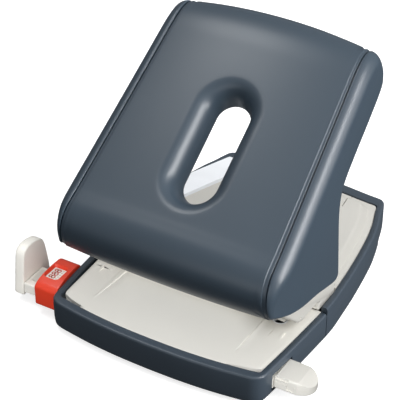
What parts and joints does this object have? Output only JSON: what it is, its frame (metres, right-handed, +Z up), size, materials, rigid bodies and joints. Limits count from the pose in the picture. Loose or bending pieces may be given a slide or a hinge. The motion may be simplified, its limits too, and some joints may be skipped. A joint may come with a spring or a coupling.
{
  "type": "desk hole punch",
  "caption": "Desk hole punch with a wide open-grip lever handle, a cream table in a dark ring base, a sliding paper guide with a red window and a pull-off chip tray.",
  "frame": {"origin": "on the table under the middle of the whole object, the guide's stop and knob included", "axes": "+Z up, -Y towards the user where paper goes in, +X to the user's right, the side of the rail's knob"},
  "size_m": [0.15, 0.1486, 0.1217],
  "materials": {
    "handle_grey": "satin blue-grey coat with a fine grain and soft wide highlights",
    "base_grey": "satin dark blue-grey moulding with a fine grain",
    "cream": "smooth warm off-white moulding",
    "red": "smooth tomato-red moulding with soft highlights",
    "steel": "ground steel",
    "zinc": "bright zinc-plated sheet steel",
    "rubber": "matte black rubber",
    "strip": null
  },
  "bodies": {
    "base": {"base_front": "base_grey", "front_table": "cream", "punch_housing": "cream", "rear_deck": "cream", "chassis_plate": "steel", "punch_frame": "zinc", "pivot_axle": "steel", "window_sleeve": "red", "die_plate_left": "steel", "die_plate_right": "steel", "pin_bracket_left": "zinc", "pin_bracket_right": "zinc", "axle_clip_left": "steel", "axle_clip_right": "steel", "return_spring_left": "steel", "return_spring_right": "steel", "front_foot_left": "rubber", "front_foot_right": "rubber", "base_screw_1": "steel", "base_screw_2": "steel"},
    "handle": {"handle_panel": "handle_grey", "cheek_left": "handle_grey", "cheek_right": "handle_grey", "lever_plate": "zinc", "press_bar_left": "steel", "press_bar_right": "steel", "lever_screw_1": "steel", "lever_screw_2": "steel", "lever_screw_3": "steel", "lever_screw_4": "steel"},
    "pin_left": {"punch_pin_left": "steel", "pin_head_left": "steel"},
    "pin_right": {"punch_pin_right": "steel", "pin_head_right": "steel"},
    "guide": {"guide_rail": "cream", "guide_stop": "cream", "rail_knob": "cream", "scale_strip": "strip"},
    "tray": {"chip_tray": "base_grey", "rear_foot_left": "rubber", "rear_foot_right": "rubber"}
  },
  "joints": [
    {"name": "handle_press", "type": "hinge", "parent": "base", "child": "handle", "pos_m": [0.00455, -0.04245, 0.032], "axis": [-1, 0, 0], "range_deg": [0, 24], "stiffness_Nm_per_rad": 1.2, "springref_deg": -40.11},
    {"name": "pin_left_slide", "type": "slide", "parent": "base", "child": "pin_left", "axis": [0, 0, -1], "range_m": [0, 0.00655], "deforming": ["return_spring_left"]},
    {"name": "pin_right_slide", "type": "slide", "parent": "base", "child": "pin_right", "axis": [0, 0, -1], "range_m": [0, 0.00655], "deforming": ["return_spring_right"]},
    {"name": "guide_pull", "type": "slide", "parent": "base", "child": "guide", "axis": [-1, 0, 0], "range_m": [0, 0.1]},
    {"name": "tray_pull", "type": "slide", "parent": "base", "child": "tray", "axis": [0, 1, 0], "range_m": [0, 0.045]}
  ],
  "couplings": [
    {"joint": "pin_left_slide", "follows": "handle_press", "m_per_rad": 0.015637},
    {"joint": "pin_right_slide", "follows": "handle_press", "m_per_rad": 0.015637}
  ]
}
